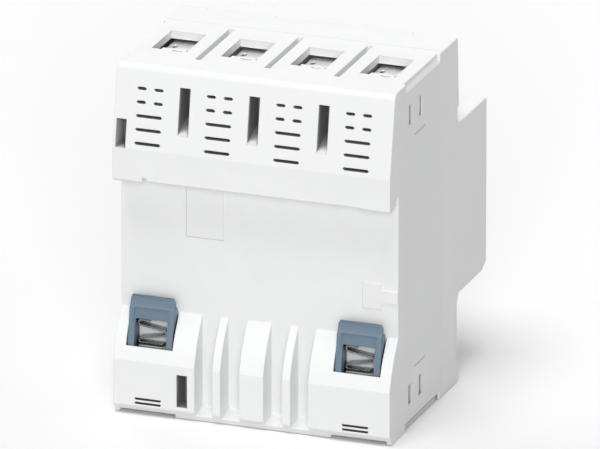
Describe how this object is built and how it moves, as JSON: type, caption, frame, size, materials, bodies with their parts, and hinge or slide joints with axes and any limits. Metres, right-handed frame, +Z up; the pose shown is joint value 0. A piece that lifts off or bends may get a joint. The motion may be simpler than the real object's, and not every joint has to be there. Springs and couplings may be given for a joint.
{
  "type": "residual current circuit breaker",
  "caption": "Rail-mounted residual current circuit breaker with toggle, test button, box terminals, sprung rail latches and its inner mechanism",
  "frame": {"origin": "middle of the bottom of the whole breaker, with the toggle down", "axes": "+Z up along the height, -Y out of the operating face, +Y out of the rail side, +X to the right seen from the front"},
  "size_m": [0.072, 0.077, 0.09],
  "materials": {
    "white_housing": "fine satin moulding, near white",
    "latch_plastic": "satin blue-grey moulding",
    "spring_steel": "bright rolled strip and wire",
    "zinc_steel": "zinc-plated steel",
    "tinned_copper": "tinned copper strip",
    "wire_insulation": "extruded wire insulation",
    "black_moulding": "black thermoset",
    "toggle_plastic": "dark satin moulding",
    "resistor_body": "cement-coated resistor",
    "clear_window": "clear moulded window",
    "flag_plastic": "coloured flag",
    "core_coating": "epoxy-coated strip-wound core",
    "enamelled_wire": "enamelled copper wire",
    "board_laminate": "laminate with solder resist"
  },
  "bodies": {
    "housing": {"housing_base": "white_housing", "housing_cover": "white_housing", "latch_spring_left": "spring_steel", "latch_spring_right": "spring_steel", "line_strap_1": "tinned_copper", "load_strap_1": "tinned_copper", "pole_wire_1": "wire_insulation", "line_strap_2": "tinned_copper", "load_strap_2": "tinned_copper", "pole_wire_2": "wire_insulation", "line_strap_3": "tinned_copper", "load_strap_3": "tinned_copper", "pole_wire_3": "wire_insulation", "line_strap_4": "tinned_copper", "load_strap_4": "tinned_copper", "pole_wire_4": "wire_insulation", "toggle_shaft": "zinc_steel", "mechanism_frame": "zinc_steel", "opening_spring": "spring_steel", "test_button_spring": "spring_steel", "test_contact": "tinned_copper", "test_resistor": "resistor_body", "indicator_window": "clear_window", "transformer_core": "core_coating", "transformer_winding": "enamelled_wire", "trip_relay": "white_housing", "trip_pin": "zinc_steel", "circuit_board": "board_laminate"},
    "contact_carrier": {"contact_carrier": "black_moulding", "moving_contact_1": "tinned_copper", "moving_contact_2": "tinned_copper", "moving_contact_3": "tinned_copper", "moving_contact_4": "tinned_copper"},
    "toggle": {"toggle_handle": "toggle_plastic"},
    "test_button": {"test_button": "toggle_plastic"},
    "indicator": {"position_indicator": "flag_plastic"},
    "relay_plunger": {"relay_plunger": "zinc_steel"},
    "trip_lever": {"trip_lever": "black_moulding"},
    "latch_left": {"rail_latch_left": "latch_plastic"},
    "latch_right": {"rail_latch_right": "latch_plastic"},
    "screw_top_1": {"terminal_screw_top_1": "zinc_steel"},
    "clamp_top_1": {"terminal_clamp_top_1": "zinc_steel"},
    "screw_top_2": {"terminal_screw_top_2": "zinc_steel"},
    "clamp_top_2": {"terminal_clamp_top_2": "zinc_steel"},
    "screw_top_3": {"terminal_screw_top_3": "zinc_steel"},
    "clamp_top_3": {"terminal_clamp_top_3": "zinc_steel"},
    "screw_top_4": {"terminal_screw_top_4": "zinc_steel"},
    "clamp_top_4": {"terminal_clamp_top_4": "zinc_steel"},
    "screw_bottom_1": {"terminal_screw_bottom_1": "zinc_steel"},
    "clamp_bottom_1": {"terminal_clamp_bottom_1": "zinc_steel"},
    "screw_bottom_2": {"terminal_screw_bottom_2": "zinc_steel"},
    "clamp_bottom_2": {"terminal_clamp_bottom_2": "zinc_steel"},
    "screw_bottom_3": {"terminal_screw_bottom_3": "zinc_steel"},
    "clamp_bottom_3": {"terminal_clamp_bottom_3": "zinc_steel"},
    "screw_bottom_4": {"terminal_screw_bottom_4": "zinc_steel"},
    "clamp_bottom_4": {"terminal_clamp_bottom_4": "zinc_steel"}
  },
  "joints": [
    {"name": "toggle_turn", "type": "hinge", "parent": "housing", "child": "toggle", "pos_m": [0.009, -0.02192, 0.045], "axis": [-1, 0, 0], "range_deg": [0, 65]},
    {"name": "contact_swing", "type": "hinge", "parent": "housing", "child": "contact_carrier", "pos_m": [0, 0.01409, 0.045], "axis": [1, 0, 0], "range_deg": [0, 14], "deforming": ["opening_spring"]},
    {"name": "indicator_slide", "type": "slide", "parent": "housing", "child": "indicator", "axis": [0, 0, -1], "range_m": [0, 0.004]},
    {"name": "test_button_press", "type": "slide", "parent": "housing", "child": "test_button", "axis": [0, 1, 0], "range_m": [0, 0.002], "stiffness_N_per_m": 800, "springref_m": -0.001, "deforming": ["test_button_spring"]},
    {"name": "plunger_release", "type": "slide", "parent": "housing", "child": "relay_plunger", "axis": [0, 0, 1], "range_m": [0, 0.0015]},
    {"name": "trip_lever_turn", "type": "hinge", "parent": "housing", "child": "trip_lever", "pos_m": [0.025, 0.00248, 0.0404], "axis": [1, 0, 0], "range_deg": [0, 18]},
    {"name": "latch_left_slide", "type": "slide", "parent": "housing", "child": "latch_left", "axis": [0, 0, -1], "range_m": [0, 0.0035], "stiffness_N_per_m": 1500, "springref_m": -0.002, "deforming": ["latch_spring_left"]},
    {"name": "latch_right_slide", "type": "slide", "parent": "housing", "child": "latch_right", "axis": [0, 0, -1], "range_m": [0, 0.0035], "stiffness_N_per_m": 1500, "springref_m": -0.002, "deforming": ["latch_spring_right"]},
    {"name": "clamp_top_1_slide", "type": "slide", "parent": "housing", "child": "clamp_top_1", "axis": [0, -1, 0], "range_m": [0, 0.0065]},
    {"name": "screw_top_1_turn", "type": "hinge", "parent": "housing", "child": "screw_top_1", "pos_m": [-0.027, -0.00502, 0.0804], "axis": [0, -1, 0], "range_deg": [0, 2926]},
    {"name": "clamp_top_2_slide", "type": "slide", "parent": "housing", "child": "clamp_top_2", "axis": [0, -1, 0], "range_m": [0, 0.0065]},
    {"name": "screw_top_2_turn", "type": "hinge", "parent": "housing", "child": "screw_top_2", "pos_m": [-0.009, -0.00502, 0.0804], "axis": [0, -1, 0], "range_deg": [0, 2926]},
    {"name": "clamp_top_3_slide", "type": "slide", "parent": "housing", "child": "clamp_top_3", "axis": [0, -1, 0], "range_m": [0, 0.0065]},
    {"name": "screw_top_3_turn", "type": "hinge", "parent": "housing", "child": "screw_top_3", "pos_m": [0.009, -0.00502, 0.0804], "axis": [0, -1, 0], "range_deg": [0, 2926]},
    {"name": "clamp_top_4_slide", "type": "slide", "parent": "housing", "child": "clamp_top_4", "axis": [0, -1, 0], "range_m": [0, 0.0065]},
    {"name": "screw_top_4_turn", "type": "hinge", "parent": "housing", "child": "screw_top_4", "pos_m": [0.027, -0.00502, 0.0804], "axis": [0, -1, 0], "range_deg": [0, 2926]},
    {"name": "clamp_bottom_1_slide", "type": "slide", "parent": "housing", "child": "clamp_bottom_1", "axis": [0, -1, 0], "range_m": [0, 0.0065]},
    {"name": "screw_bottom_1_turn", "type": "hinge", "parent": "housing", "child": "screw_bottom_1", "pos_m": [-0.027, -0.00502, 0.0096], "axis": [0, -1, 0], "range_deg": [0, 2926]},
    {"name": "clamp_bottom_2_slide", "type": "slide", "parent": "housing", "child": "clamp_bottom_2", "axis": [0, -1, 0], "range_m": [0, 0.0065]},
    {"name": "screw_bottom_2_turn", "type": "hinge", "parent": "housing", "child": "screw_bottom_2", "pos_m": [-0.009, -0.00502, 0.0096], "axis": [0, -1, 0], "range_deg": [0, 2926]},
    {"name": "clamp_bottom_3_slide", "type": "slide", "parent": "housing", "child": "clamp_bottom_3", "axis": [0, -1, 0], "range_m": [0, 0.0065]},
    {"name": "screw_bottom_3_turn", "type": "hinge", "parent": "housing", "child": "screw_bottom_3", "pos_m": [0.009, -0.00502, 0.0096], "axis": [0, -1, 0], "range_deg": [0, 2926]},
    {"name": "clamp_bottom_4_slide", "type": "slide", "parent": "housing", "child": "clamp_bottom_4", "axis": [0, -1, 0], "range_m": [0, 0.0065]},
    {"name": "screw_bottom_4_turn", "type": "hinge", "parent": "housing", "child": "screw_bottom_4", "pos_m": [0.027, -0.00502, 0.0096], "axis": [0, -1, 0], "range_deg": [0, 2926]}
  ],
  "couplings": [
    {"joint": "contact_swing", "follows": "toggle_turn", "ratio": 0.21538},
    {"joint": "indicator_slide", "follows": "toggle_turn", "m_per_rad": 0.0035259},
    {"joint": "trip_lever_turn", "follows": "plunger_release", "rad_per_m": 209.44},
    {"joint": "screw_top_1_turn", "follows": "clamp_top_1_slide", "rad_per_m": 7854},
    {"joint": "screw_top_2_turn", "follows": "clamp_top_2_slide", "rad_per_m": 7854},
    {"joint": "screw_top_3_turn", "follows": "clamp_top_3_slide", "rad_per_m": 7854},
    {"joint": "screw_top_4_turn", "follows": "clamp_top_4_slide", "rad_per_m": 7854},
    {"joint": "screw_bottom_1_turn", "follows": "clamp_bottom_1_slide", "rad_per_m": 7854},
    {"joint": "screw_bottom_2_turn", "follows": "clamp_bottom_2_slide", "rad_per_m": 7854},
    {"joint": "screw_bottom_3_turn", "follows": "clamp_bottom_3_slide", "rad_per_m": 7854},
    {"joint": "screw_bottom_4_turn", "follows": "clamp_bottom_4_slide", "rad_per_m": 7854}
  ]
}
